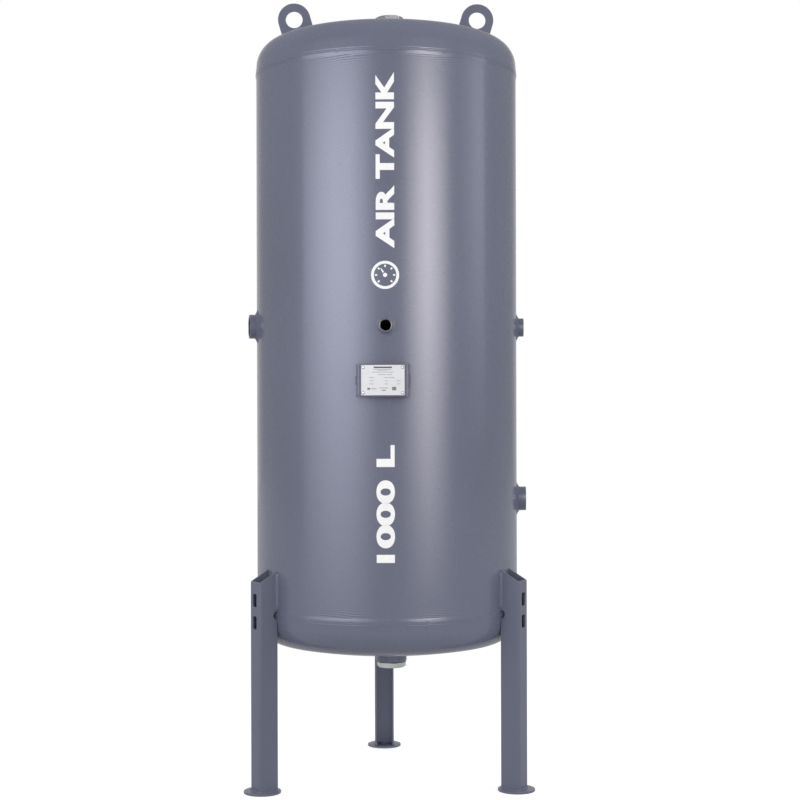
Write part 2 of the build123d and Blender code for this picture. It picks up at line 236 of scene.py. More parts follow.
def powder_coat(name, color, roughness=0.27, peel=0.03 * MM, gloss=0.42, lacquer=0.35):
    """Slate powder coat: orange peel, faint clouding and a little dust where it faces up."""
    made, tree, shader = new_material(
        name, Specular_IOR_Level=gloss, Coat_Weight=lacquer, Coat_Roughness=0.1, Coat_IOR=1.45
    )
    clouds = noise_field(tree, 3.2, 4.0, (1, 1, 0.45))
    body = ramp(tree, clouds, 0.3, 0.7, shade(color, 0.955), shade(color, 1.045))
    grains = ramp(tree, noise_field(tree, 1500, 1.0), 0.25, 0.75, (0.94,) * 3, (1.04,) * 3)
    body = mixed(tree, 1.0, body, grains, "MULTIPLY")

    geometry = tree.nodes.new("ShaderNodeNewGeometry")
    facing = tree.nodes.new("ShaderNodeSeparateXYZ")
    tree.links.new(geometry.outputs["Normal"], facing.inputs["Vector"])
    lying = node(tree, "ShaderNodeMapRange", From_Min=0.75, From_Max=1.0, To_Max=0.22)
    tree.links.new(facing.outputs["Z"], lying.inputs["Value"])
    patches = computed(tree, "MULTIPLY", lying.outputs["Result"], noise_field(tree, 14, 5.0))
    dusty = mixed(tree, patches, body, DUST)

    film = spread(tree, noise_field(tree, 22, 3.0), roughness - 0.02, roughness + 0.025)
    coarse = bump(tree, noise_field(tree, 260, 1.5), peel * 1.6)
    fine = bump(tree, noise_field(tree, 900, 1.0), peel * 0.5, coarse)
    feed(tree, shader, Base_Color=dusty, Roughness=film, Normal=fine)
    return made


def noisy(name, tint, gloss, relief=None, **sockets):
    """A material whose colour, gloss and fine relief each follow a noise field.

    tint is (field, low, high, colour at low, colour at high), gloss is (field, roughness,
    roughness) and relief is (field, depth); a field is what noise_field takes.
    """
    made, tree, shader = new_material(name, **sockets)
    color = ramp(tree, noise_field(tree, *tint[0]), *tint[1:])
    feed(tree, shader, Base_Color=color)
    feed(tree, shader, Roughness=spread(tree, noise_field(tree, *gloss[0]), *gloss[1:]))
    if relief:
        feed(tree, shader, Normal=bump(tree, noise_field(tree, *relief[0]), relief[1]))
    return made


def turned_metal(name, color, roughness, grain=(1, 1, 1)):
    """Plated or bare metal with cutting marks, faint stains and a broken gloss."""
    return noisy(
        name,
        ((45, 3.0), 0.3, 0.75, shade(color, 0.9), shade(color, 1.03)),
        ((130, 3.0), roughness - 0.06, roughness + 0.1),
        ((600, 1.5, grain), 0.02 * MM),
        Metallic=1.0,
    )


def ink(name, color):
    """Screen printing ink, a little broken at this size."""
    return noisy(name, ((1800, 2.0), 0.3, 0.8, color, shade(color, 1.6)), ((500,), 0.45, 0.6))


COAT = (0.128, 0.138, 0.196)
VESSEL_COAT = powder_coat("vessel_coat", COAT)
SEAM_COAT = powder_coat("seam_coat", shade(COAT, 0.99), 0.24, 0.015 * MM)
# Fillet beads get a darker copy of the coat: painted shade in the corners where they sit.
SHADED_FILLET_COAT = powder_coat("fillet_coat_painted_shade", shade(COAT, 0.9), 0.5, 0.03 * MM, 0.25, 0.1)
FITTING_COAT = powder_coat("fitting_coat", shade(COAT, 0.96))
# Lugs and legs get a darker copy of the same coat: painted shade on these small parts.
SHADED_LUG_COAT = powder_coat("lug_coat_painted_shade", shade(COAT, 0.93), 0.38, 0.03 * MM, 0.3, 0.15)
SHADED_LEG_COAT = powder_coat("leg_coat_painted_shade", shade(COAT, 0.93), 0.38, 0.03 * MM, 0.3, 0.15)
# Lighter coat for every bevelled edge: partly edge wear, partly a painted highlight along the
# edges.
WEAR_AND_EDGE_HIGHLIGHT_COAT = powder_coat("wear_and_edge_highlight_coat", shade(COAT, 1.18), 0.34)
# Unpainted rolled steel inside the vessel: dark scale with a bloom of rust.
RUST = (9, 6.0, (1, 1, 1), 0.6)
INSIDE_STEEL = noisy(
    "inside_steel",
    (RUST, 0.42, 0.68, (0.055, 0.055, 0.06), (0.12, 0.055, 0.028)),
    (RUST, 0.45, 0.85),
    ((300, 3.0), 0.1 * MM),
    Metallic=0.35,
)
CUT_STEEL = turned_metal("cut_steel", (0.46, 0.45, 0.43), 0.34)
ZINC = turned_metal("zinc_plate", (0.72, 0.73, 0.75), 0.16, (1, 1, 0.25))
# The socket thread is darkened: painted shade inside the bore.
SHADED_THREAD_STEEL = turned_metal("thread_steel_painted_shade", (0.11, 0.11, 0.115), 0.42)
ALUMINIUM = turned_metal("rivet_aluminium", (0.74, 0.74, 0.75), 0.32)
# Satin anodised plate: pale, brushed along its length.
BRUSHED = (900, 2.0, (0.04, 0.04, 1))
PLATE = noisy(
    "anodised_plate",
    (BRUSHED, 0.3, 0.7, (0.60, 0.605, 0.61), (0.69, 0.695, 0.70)),
    (BRUSHED, 0.34, 0.46),
    (BRUSHED, 0.02 * MM),
    Metallic=0.25,
    Specular_IOR_Level=0.4,
)
DARK_INK = ink("dark_ink", (0.03, 0.03, 0.032))
GREY_INK = ink("grey_ink", (0.13, 0.13, 0.135))
# White cut vinyl: slightly uneven gloss and a faint texture of the coat below.
VINYL = noisy(
    "marking_vinyl",
    ((12, 4.0), 0.3, 0.7, (0.86, 0.86, 0.87), (0.93,) * 3),
    ((40, 2.0), 0.3, 0.42),
    ((260, 1.5), 0.08 * MM),
    Specular_IOR_Level=0.45,
)
# Matt black seal with a dusting of talc.
RUBBER = noisy(
    "seal_rubber",
    ((220, 4.0), 0.4, 0.75, (0.02, 0.02, 0.021), (0.06,) * 3),
    ((300,), 0.7, 0.9),
    ((1200, 2.0), 0.05 * MM),
    Specular_IOR_Level=0.3,
)

# ---- mesh helpers ----

CREASE = radians(32)


def make_piece(name, mesh_or_points, faces=(), materials=(VESSEL_COAT,)):
    """A smooth-shaded object with outward faces, from a bmesh or from points and faces."""
    mesh = bpy.data.meshes.new(name)
    if isinstance(mesh_or_points, bmesh.types.BMesh):
        form = mesh_or_points
    else:
        mesh.from_pydata(mesh_or_points, [], faces)
        form = bmesh.new()
        form.from_mesh(mesh)
    bmesh.ops.recalc_face_normals(form, faces=form.faces)
    form.to_mesh(mesh)
    form.free()
    for material in materials:
        mesh.materials.append(material)
    mesh.shade_smooth()
    mesh.set_sharp_from_angle(angle=CREASE)
    return new_object(name, mesh)


def place(piece, nodes=(), body="vessel"):
    """Hand a finished piece to the frame."""
    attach(piece, body)
    if nodes:
        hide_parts(*nodes)
    return piece


def ring_faces(rows, columns, closed=True, first=0):
    """Quads between rings of points; the last ring joins the first one if closed."""
    faces = []
    for row in range(rows if closed else rows - 1):
        low, high = first + row * columns, first + (row + 1) % rows * columns
        for k in range(columns):
            n = (k + 1) % columns
            faces.append((low + k, low + n, high + n, high + k))
    return faces


def rounded(corners, radius, steps=3):
    """A closed outline with its corners rounded."""
    outline = []
    for i, corner in enumerate(corners):
        here = Vector(corner)
        back, on = Vector(corners[i - 1]) - here, Vector(corners[(i + 1) % len(corners)]) - here
        start = here + back.normalized() * min(radius, back.length * 0.45)
        end = here + on.normalized() * min(radius, on.length * 0.45)
        for k in range(steps + 1):
            t = k / steps
            outline.append(tuple(start * (1 - t) ** 2 + here * 2 * t * (1 - t) + end * t * t))
    return outline


def axes(origin, normal):
    """An origin with three right-handed axes, the last one along normal."""
    side = Vector((1, 0, 0)) if abs(normal.z) > 0.5 else UP.cross(normal).normalized()
    return Vector(origin), side, normal.cross(side), normal


def turned(outline, where, columns, change=None):
    """Points of a closed outline of (radius, height), turned about the last of the axes."""
    origin, a, b, normal = where
    points = []
    for radius, height in outline:
        for k in range(columns):
            t = 2 * pi * k / columns
            r = radius if change is None else change(radius, height, t)
            points.append(origin + (a * cos(t) + b * sin(t)) * r + normal * height)
    return points


def lathe(name, outline, where, columns, materials, change=None):
    """A ring-shaped piece turned about an axis."""
    points = turned(outline, where, columns, change)
    return make_piece(name, points, ring_faces(len(outline), columns), materials)


def cut(piece, cutter):
    """Take the cutter's form out of a piece."""
    modifier = piece.modifiers.new("cut", "BOOLEAN")
    modifier.operation = "DIFFERENCE"
    modifier.solver = "EXACT"
    modifier.object = cutter
    graph = bpy.context.evaluated_depsgraph_get()
    mesh = bpy.data.meshes.new_from_object(piece.evaluated_get(graph))
    piece.modifiers.clear()
    piece.data = mesh
    mesh.set_sharp_from_angle(angle=CREASE)
    bpy.data.objects.remove(cutter)


def rod(where, radius, low, high):
    """A plain closed rod, used only as a cutter."""
    columns = 48
    points = turned([(radius, low), (radius, high)], where, columns)
    faces = ring_faces(2, columns, closed=False)
    faces += [tuple(range(columns)), tuple(range(columns, 2 * columns))]
    return make_piece("hole", points, faces)


def remade(name, cad_node, bevel, materials, segments=2):
    """A clean copy of a CAD node: whole flat faces, and every sharp edge softened and,
    where there is a second material, finished in that one."""
    form = bmesh.new()
    form.from_mesh(frame["nodes"][cad_node].data)
    bmesh.ops.remove_doubles(form, verts=form.verts, dist=0.01 * MM)
    bmesh.ops.dissolve_limit(
        form, angle_limit=radians(0.4), verts=form.verts, edges=form.edges, delimit=set()
    )
    sharp = [e for e in form.edges if len(e.link_faces) == 2 and e.calc_face_angle() > CREASE]
    bmesh.ops.bevel(
        form,
        geom=sharp,
        offset=bevel,
        offset_type="OFFSET",
        segments=segments,
        profile=0.5,
        affect="EDGES",
        clamp_overlap=True,
        material=len(materials) - 1,
    )
    bmesh.ops.triangulate(form, faces=[f for f in form.faces if len(f.verts) > 4])
    piece = make_piece(name, form, materials=materials)
    weighted = piece.modifiers.new("weighted", "WEIGHTED_NORMAL")
    weighted.keep_sharp = True
    return piece


# ---- weld beads ----

BEAD_SUNK = 1.2 * MM


def crown_section(width, height, steps=6):
    """Section of a seam bead: (across, up, how much the ripples lift it)."""
    section = [(width / 2, -BEAD_SUNK, 0.0), (-width / 2, -BEAD_SUNK, 0.0)]
    for i in range(steps + 1):
        x = 2 * i / steps - 1
        section.append((x * width / 2, height * (1 - x * x), 1 - x**4))
    return section


def fillet_section(foot, rise, hollow=0.0, steps=5, sunk=BEAD_SUNK):
    """Section of a fillet bead in a corner, from the upright face out along the floor."""
    section = [(foot, -sunk, 0.0), (-sunk, -sunk, 0.0), (-sunk, rise, 0.0)]
    for i in range(steps + 1):
        t = i / steps
        swell = 4 * t * (1 - t)
        section.append((foot * t - hollow * swell, rise * (1 - t) - hollow * swell, swell))
    return section


def bead(route, length, section, pitch, ripple, closed, seed):
    """Points and faces of a rippled bead. route(share, across, up) gives a point."""
    waves = max(3, round(length / pitch))
    rows = waves * 4 if closed else waves * 4 + 1
    widest = max(abs(across) for across, _, _ in section)
    points = []
    for row in range(rows):
        share = row / (waves * 4)
        turn = 2 * pi * share
        spot = (share * length, 0, seed)
        if closed:
            spot = (cos(turn) * length, sin(turn) * length, seed)
        sway = noise.noise(Vector(spot) * 25) * ripple * 1.5
        ends = 1.0 if closed else min(1.0, 0.45 + 0.55 * min(share, 1 - share) * waves / 2)
        for across, up, lift in section:
            bow = 0.35 * (across / widest) ** 2
            phase = (share * waves + bow) % 1.0
            crest = 1 - (2 * phase - 1) ** 2
            height = up * (ends if lift else 1) + lift * (ripple * (crest - 0.6) + sway * 0.5)
            points.append(route(share, across + lift * sway, height))
    columns = len(section)
    faces = ring_faces(rows, columns, closed)
    if not closed:
        faces += [tuple(range(columns)), tuple(range((rows - 1) * columns, rows * columns))]
    return points, faces


def bead_pair(route, length, section, pitch, ripple, seed):
    """The same open bead on both sides of a piece; route gets the side, -1 or 1, first."""
    return [
        bead(partial(route, side), length, section, pitch, ripple, False, seed + side)
        for side in (-1, 1)
    ]


def on_shell(out, along, across, up, low, high, share):
    """A point up from the shell and across from an azimuth, at a share of low.z to high.z."""
    radius = sqrt(SHELL_RADIUS**2 - across * across) + up
    return out * radius + along * across + UP * (low.z + share * (high.z - low.z))


def weld(name, beads, nodes, material=SHADED_FILLET_COAT):
    """One piece made of one or more beads."""
    points, faces = [], []
    for more_points, more_faces in beads:
        faces += [tuple(len(points) + i for i in face) for face in more_faces]
        points += more_points
    place(make_piece(name, points, faces, (material,)), nodes)


# ---- shell ----

SHELL_COLUMNS = 240
STREAK_PITCH = 7 * MM
STREAK_REACH = 48 * MM
STREAK_DEPTH = 0.3 * MM
UNEVENNESS = 0.16 * MM


def rolled(radius, height, turn):
    """Brushing by the seams leaves fine streaks, and rolling a slight unevenness all over."""
    if radius < SHELL_RADIUS - SHELL_WALL / 2:
        return radius
    gap = min(height - SHELL_BOTTOM, SHELL_TOP - height)
    spot = Vector((cos(turn) * 2.2, sin(turn) * 2.2, height * 1.6))
    drift = Vector((cos(turn) * 2.4, sin(turn) * 2.4, gap * 9))
    phase = 2 * pi * gap / STREAK_PITCH + 9 * noise.noise(drift)
    fading = max(0.0, 1 - gap / STREAK_REACH) * (0.55 + noise.noise(drift * 2.1 + UP * 7))
    fade = min(1.0, gap / 0.05)
    streaks = STREAK_DEPTH * sin(phase) * fading
    return radius + streaks + UNEVENNESS * fade * (noise.noise(spot) - 0.3)


def shell():
    """The rolled plate, with a round hole under each socket."""
    length = SHELL_TOP - SHELL_BOTTOM
    close = [0.0] + [8 * MM + i * 1.3 * MM for i in range(32)] + [60 * MM]
    middle = [close[-1] + (length - 2 * close[-1]) * i / 34 for i in range(1, 34)]
    rises = close + middle + [length - gap for gap in reversed(close)]
    outline = [(SHELL_RADIUS, SHELL_BOTTOM + rise) for rise in rises]
    inside = [SHELL_TOP - length * i / 12 for i in range(13)]
    outline += [(SHELL_RADIUS - SHELL_WALL, z) for z in inside]
    skins = (VESSEL_COAT, INSIDE_STEEL)
    made = lathe("vessel_shell", outline, axes((0, 0, 0), UP), SHELL_COLUMNS, skins, rolled)
    for name in PORTS:
        low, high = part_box(name.replace("_port", "_socket"))
        where = axes((0, 0, low.z / 2 + high.z / 2), Vector(PORTS[name]["axis"]))
        cut(made, rod(where, (high.z - low.z) / 2 + HOLE_GAP, 0.3, 0.5))
    for face in made.data.polygons:
        middle_radius = Vector(face.center[:2]).length
        face.material_index = int(middle_radius < SHELL_RADIUS - 2 * MM)
    place(made, ["shell_cylinder"])


# ---- dished heads ----


def dish(wall, knuckle_steps=14, crown_steps=30, last=2 * MM):
    """Dished line (radius, depth beyond the seam), set in from the outer face by wall.
    The flange leans in a little, as a pressed one does."""
    join = atan2(HEAD_FLANGE + CROWN_DEPTH, KNUCKLE_X)
    lean, shrink = FLANGE_LEAN, FLANGE_SHRINK
    knuckle, crown = HEAD_KNUCKLE - wall, HEAD_CROWN - wall
    rise = HEAD_FLANGE + knuckle * sin(lean)
    edge = KNUCKLE_X + knuckle * cos(lean) - shrink
    outline = [(edge + rise * tan(lean) * (1 - i / 3), rise * i / 3) for i in range(3)]
    for i in range(knuckle_steps):
        angle = lean + (join - lean) * i / knuckle_steps
        inset = shrink * max(0.0, 1 - (angle - lean) / radians(45))
        radius = KNUCKLE_X + knuckle * cos(angle) - inset
        outline.append((radius, HEAD_FLANGE + knuckle * sin(angle)))
    for i in range(crown_steps):
        angle = join + (pi / 2 - last / crown - join) * i / (crown_steps - 1)
        outline.append((crown * cos(angle), crown * sin(angle) - CROWN_DEPTH))
    return outline


def head(end):
    """A dished end with the hole for its boss."""
    seam, up = ENDS[end]
    outline = dish(0) + dish(HEAD_WALL)[::-1]
    where = axes((0, 0, seam), UP * up)
    made = lathe(f"{end}_dished_head", outline, where, 192, (VESSEL_COAT, INSIDE_STEEL))
    centre, radius, _ = boss_place(end)
    hole = axes((centre.x, 0, seam), UP * up)
    cut(made, rod(hole, radius + HOLE_GAP, 0.05, 0.25))
    crown_centre = Vector((0, 0, seam - up * CROWN_DEPTH))
    for face in made.data.polygons:
        spot = Vector(face.center)
        flat_radius = Vector(spot[:2]).length
        inner = flat_radius < KNUCKLE_X and (spot - crown_centre).length < HEAD_CROWN - 3 * MM
        inner = inner or (flat_radius > KNUCKLE_X and face.normal.dot(spot - crown_centre) < 0)
        face.material_index = int(inner)
    place(made, [f"{end}_head"])


def boss_place(end):
    """Centre of a boss's outer face, its radius, and the direction it faces."""
    low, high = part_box(f"{end}_boss")
    up = ENDS[end][1]
    face = high.z if up > 0 else low.z
    return Vector(((low.x + high.x) / 2, 0, face)), (high.y - low.y) / 2, up


def girth_weld(end):
    """Bead between the shell and a head, which is slightly larger than the shell."""
    seam, up = ENDS[end]
    step = HEAD_RADIUS - SHELL_RADIUS

    def route(share, across, height):
        turn = 2 * pi * share
        spot = Vector((cos(turn) * 3, sin(turn) * 3, up * 4))
        wander = 2.5 * noise.noise(spot) + 1.2 * noise.noise(spot * 4)
        depth = 0.5 + noise.noise(spot * 2.7 + UP * 9)
        brushed = sin(2 * pi * (across / (3.6 * MM) + wander)) * depth
        brushed *= 0.3 * MM * max(0.0, 1 - (2 * across / GIRTH_BEAD) ** 4)
        groove = 0.4 * MM * 2.718 ** (-(((across - 7.4 * MM) / (1.3 * MM)) ** 2))
        radius = SHELL_RADIUS + step * (0.5 + across / GIRTH_BEAD) + height + brushed - groove
        return Vector((cos(turn) * radius, sin(turn) * radius, seam + up * across))

    section = crown_section(GIRTH_BEAD, 0.8 * MM, 20)
    length = 2 * pi * SHELL_RADIUS
    made = bead(route, length, section, 9 * MM, 0.07 * MM, True, 1 if up > 0 else 2)
    weld(f"{end}_girth_bead", [made], [f"{end}_girth_weld"], SEAM_COAT)


def long_seam():
    """Upright seam of the rolled shell, at the back."""
    low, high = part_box("long_seam_weld")

    def route(share, across, height):
        azimuth = LONG_SEAM_AZIMUTH + across / SHELL_RADIUS * 180 / pi
        z = low.z + share * (high.z - low.z)
        return outward(azimuth) * (SHELL_RADIUS + height) + UP * z

    section = crown_section(14 * MM, 1.5 * MM)
    made = bead(route, high.z - low.z, section, 4.5 * MM, 0.3 * MM, False, 3)
    weld("long_seam_bead", [made], ["long_seam_weld"], SEAM_COAT)


# ---- threads ----


def thread_wave(turns):
    """Flank of a pipe thread: 1 on the crests, -1 in the roots, rounded off at both."""
    saw = 4 * abs(turns - floor(turns + 0.5)) - 1
    return max(-0.8, min(0.8, saw)) / 0.8


def threaded(pitch_radius, height, turn, low, high):
    """Radius of a thread's flank between two heights, fading out at both ends."""
    fade = max(0.0, min(1.0, (height - low) / THREAD_PITCH, (high - height) / THREAD_PITCH))
    wave = thread_wave(height / THREAD_PITCH - turn / (2 * pi))
    return pitch_radius + THREAD_DEPTH / 2 * wave * fade


def thread_rows(low, high, rows_a_pitch=6):
    """Heights along a thread, from low to high."""
    count = max(2, round((high - low) / THREAD_PITCH * rows_a_pitch))
    return [low + (high - low) * i / count for i in range(count + 1)]


SOCKET_COLUMNS = 72


def socket(port):
    """A screwed socket: painted outside, bare cut metal on the rim, and a thread darkened as
    painted shade inside the bore.
    """
    mount = PORTS[port]
    normal = Vector(mount["axis"])
    low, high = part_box(port.replace("_port", "_socket"))
    radius = (high.z - low.z) / 2
    bore = mount["dims"]["r_mm"] * MM
    length = mount["dims"]["length_mm"] * MM
    chamfer = 1.5 * MM
    top = length / 2 + chamfer
    bottom = -length / 2
    shoulder = rounded([(radius, bottom), (radius, top), (bore + chamfer, top)], 0.9 * MM)
    outside = [p for p in shoulder if p[0] > bore + chamfer * 1.2 and p[1] > bottom + chamfer]
    outline = [(radius, bottom)] + outside
    bare_from = len(outline) - 1
    outline += [(bore + chamfer * 1.15, top), (bore + chamfer, top - 0.15 * MM)]
    thread_from = len(outline) - 1
    pitch_radius = bore + THREAD_DEPTH / 2
    rows = thread_rows(bottom, top - chamfer)
    outline += [(pitch_radius, z) for z in reversed(rows)]

    def change(r, z, turn):
        if r != pitch_radius:
            return r
        return threaded(r, z, turn, bottom, top - chamfer + THREAD_PITCH)

    where = axes(mount["pos_m"], normal)
    skins = (FITTING_COAT, CUT_STEEL, SHADED_THREAD_STEEL)
    body = port.replace("_port", "_socket_body")
    made = lathe(body, outline, where, SOCKET_COLUMNS, skins, change)
    for i, face in enumerate(made.data.polygons):
        row = i // SOCKET_COLUMNS
        if row < len(outline) - 1:
            face.material_index = (bare_from <= row) + (thread_from <= row)
    place(made, [port.replace("_port", "_socket")])


def socket_weld(port):
    """Fillet bead round a socket, lying on the round shell."""
    mount = PORTS[port]
    normal = Vector(mount["axis"])
    name = port.replace("_port", "_socket")
    low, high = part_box(name)
    radius, height = (high.z - low.z) / 2, (high.z + low.z) / 2
    weld_low, weld_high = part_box(name + "_weld")
    foot = (weld_high.z - weld_low.z) / 2 - radius
    side = normal.cross(UP)

    def route(share, across, up):
        turn = 2 * pi * share
        u, v = (radius + across) * cos(turn), (radius + across) * sin(turn)
        return normal * (sqrt(SHELL_RADIUS**2 - u * u) + up) + side * u + UP * (height + v)

    section = fillet_section(foot, foot / 2, foot * 0.05)
    length = 2 * pi * (radius + foot / 2)
    made = bead(route, length, section, 4 * MM, 0.35 * MM, True, 4 + height)
    weld(name + "_bead", [made], [name + "_weld"])


# ---- bosses, seals and plugs ----

BOSS_THREAD_RADIUS = 36.85 * MM
BOSS_COLUMNS = 96
PLUG_WALL = 7 * MM
PLUG_ACROSS_FLATS = 80 * MM
PLUG_TURN = {"top": 8, "bottom": 16}
PLUG_COLUMNS = 144
PLUG_BEVEL_SLOPE = 0.577
PLUG_EDGE = 0.6 * MM


def boss(end):
    """Threaded boss in the middle of a head."""
    centre, radius, up = boss_place(end)
    low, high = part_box(f"{end}_boss")
    length = high.z - low.z
    pitch_radius = BOSS_THREAD_RADIUS + RUNNING_GAP
    mouth = pitch_radius + THREAD_DEPTH / 2 + 0.4 * MM
    outline = [(radius, -length), (radius, -2.2 * MM), (radius - 0.3 * MM, -1.4 * MM)]
    outline += [(radius - 1.5 * MM, -0.3 * MM), (radius - 2.2 * MM, 0), (mouth + 0.5 * MM, 0)]
    bare_from = len(outline) - 1
    rows = thread_rows(-length, -0.8 * MM)
    outline += [(mouth, -0.4 * MM)] + [(pitch_radius, z) for z in reversed(rows)]

    def change(r, z, turn):
        return threaded(r, z, turn, -length, THREAD_PITCH) if r == pitch_radius else r

    where = axes(centre, UP * up)
    skins = (FITTING_COAT, CUT_STEEL)
    made = lathe(f"{end}_boss_body", outline, where, BOSS_COLUMNS, skins, change)
    for i, face in enumerate(made.data.polygons):
        face.material_index = int(bare_from <= i // BOSS_COLUMNS < len(outline) - 1)
    place(made, [f"{end}_boss"])


def boss_weld(end):
    """Fillet bead round a boss, lying on the dished head."""
    seam, up = ENDS[end]
    centre, radius, _ = boss_place(end)
    low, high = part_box(f"{end}_boss_weld")
    foot = (high.y - low.y) / 2 - radius

    def route(share, across, height):
        turn = 2 * pi * share
        x, y = centre.x + (radius + across) * cos(turn), (radius + across) * sin(turn)
        crown = sqrt(HEAD_CROWN**2 - x * x - y * y) - CROWN_DEPTH
        return Vector((x, y, seam + up * (crown + height)))

    section = fillet_section(foot, 8 * MM, 0.4 * MM)
    made = bead(route, 2 * pi * (radius + foot / 2), section, 4.5 * MM, 0.4 * MM, True, 5 + up)
    weld(f"{end}_boss_bead", [made], [f"{end}_boss_weld"])


def seal(end):
    """Flat seal between a boss and its plug."""
    low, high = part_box(f"{end}_plug_seal")
    centre, _, up = boss_place(end)
    outer, thick = (high.y - low.y) / 2, high.z - low.z
    inner = BOSS_THREAD_RADIUS + 0.75 * MM
    corners = [(outer, 0), (outer, thick), (inner, thick), (inner, 0)]
    outline = rounded(corners, 0.6 * MM, 3)
    made = lathe(f"{end}_seal_ring", outline, axes(centre, UP * up), 96, (RUBBER,))
    place(made, [f"{end}_plug_seal"], f"{end}_seal")


def plug(end):
    """Hexagon plug: bevelled head with a turned recess, and a hollow threaded shank."""
    centre, _, up = boss_place(end)
    low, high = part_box(f"{end}_plug")
    seal_low, seal_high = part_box(f"{end}_plug_seal")
    base = seal_high.z - seal_low.z
    shank = (low.z if up > 0 else high.z) * up - (centre.z * up)
    crest = (high.z if up > 0 else -low.z) - centre.z * up
    flat = PLUG_ACROSS_FLATS / 2
    phase = radians(PLUG_TURN[end])
    pitch_radius = BOSS_THREAD_RADIUS - RUNNING_GAP
    corner = flat / cos(radians(30)) - 0.5 * MM

    def hexagon(turn):
        around = (turn - phase) % radians(60) - radians(30)
        return min(flat / cos(around), corner)

    columns = PLUG_COLUMNS
    where = axes(centre, UP * up)
    origin, a, b, normal = where
    outline = [(pitch_radius, z) for z in thread_rows(shank + 1.2 * MM, base - 0.4 * MM)]
    outline.append((pitch_radius + 0.3 * MM, base))
    # The hexagon's rows: how far each is set in, and its rise above the seal, or None
    # where it follows the bevel.
    head_rows = {}
    for inset, raised in ((PLUG_EDGE, 0.0), (0.0, PLUG_EDGE), (0.0, None)):
        head_rows[len(outline)] = (inset, raised)
        outline.append((flat, base))
    outline += [(flat - 1.2 * MM, crest), (flat - 2.0 * MM, crest), (24 * MM, crest)]
    outline += [(23.2 * MM, crest - 0.5 * MM), (22.5 * MM, crest - 1.2 * MM)]
    outline.append((6 * MM, crest - 1.3 * MM))
    points = []
    for i, (radius, z) in enumerate(outline):
        for k in range(columns):
            turn = 2 * pi * k / columns
            r, height = radius, z
            if i in head_rows:
                inset, raised = head_rows[i]
                r = hexagon(turn) - inset
                if raised is None:
                    height = crest - (r - flat + 1.2 * MM) * PLUG_BEVEL_SLOPE
                else:
                    height = base + raised
            elif radius == pitch_radius:
                r = threaded(radius, z, turn, shank, base)
            points.append(origin + (a * cos(turn) + b * sin(turn)) * r + normal * height)
    inner = pitch_radius - PLUG_WALL
    roof = base + 1 * MM
    hollow = [(inner, roof), (inner, shank + 0.5 * MM), (inner + 0.5 * MM, shank)]
    hollow += [(pitch_radius - 0.8 * MM, shank)]
    first_hollow = len(points)
    points += turned(hollow, where, columns)
    faces = ring_faces(len(outline), columns, closed=False)
    faces += ring_faces(len(hollow), columns, closed=False, first=first_hollow)
    last = len(points) - columns
    for k in range(columns):
        n = (k + 1) % columns
        faces.append((last + k, last + n, n, k))
    for start in (first_hollow - columns, first_hollow):
        faces.append(tuple(range(start, start + columns)))
    made = make_piece(f"{end}_hexagon_plug", points, faces, (ZINC,))
    place(made, [f"{end}_plug"], f"{end}_plug")


# ---- lifting lugs ----


def lug(side, sign):
    """Flame-cut lug and the two beads at its foot."""
    made = remade(f"{side}_lug_plate", f"lifting_lug_{side}", 0.9 * MM, (SHADED_LUG_COAT, WEAR_AND_EDGE_HIGHLIGHT_COAT), 3)
    place(made, [f"lifting_lug_{side}"])
    low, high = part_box(f"lifting_lug_{side}_weld")
    plate_low, plate_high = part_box(f"lifting_lug_{side}")
    centre = Vector((0, 0, SHELL_TOP - CROWN_DEPTH))
    half = (plate_high.y - plate_low.y) / 2
    foot = high.y - half
    start, end = atan2(low.x, HEAD_CROWN), atan2(high.x, HEAD_CROWN)

    def route(face, share, across, up):
        angle = start + share * (end - start)
        y = half + across
        radius = sqrt(HEAD_CROWN**2 - y * y) + up
        return centre + Vector((sin(angle), 0, cos(angle))) * radius + Vector((0, face * y, 0))

    section = fillet_section(foot, foot, -0.3 * MM)
    length = HEAD_CROWN * (end - start)
    beads = bead_pair(route, length, section, 4 * MM, 0.4 * MM, 7 + sign * 3)
    weld(f"{side}_lug_beads", beads, [f"lifting_lug_{side}_weld"])


# ---- legs and feet ----


def channel_contour():
    """Outer line of a leg's channel, (along, radius) with its outward normal, and its length."""
    flange_start = LEG_FLANGE_RADIUS + 4 * MM
    flange = LEG_RADIUS - LEG_BEND - LEG_FLANGE_RADIUS - 4 * MM
    quarter = pi / 2 * LEG_BEND
    web = 2 * (LEG_HALF_WIDTH - LEG_BEND)
    total = 2 * flange + 2 * quarter + web

    def at(share):
        mirrored = share > 0.5
        d = (1 - share if mirrored else share) * total
        if d < flange:
            along, radius, normal = -LEG_HALF_WIDTH, flange_start + d, (-1, 0)
        elif d < flange + quarter:
            angle = (d - flange) / LEG_BEND
            normal = (-cos(angle), sin(angle))
            along = -LEG_HALF_WIDTH + LEG_BEND + LEG_BEND * normal[0]
            radius = LEG_RADIUS - LEG_BEND + LEG_BEND * normal[1]
        else:
            along = -LEG_HALF_WIDTH + LEG_BEND + d - flange - quarter
            radius, normal = LEG_RADIUS, (0, 1)
        flip = -1 if mirrored else 1
        return along * flip, radius, normal[0] * flip, normal[1]

    return at, total


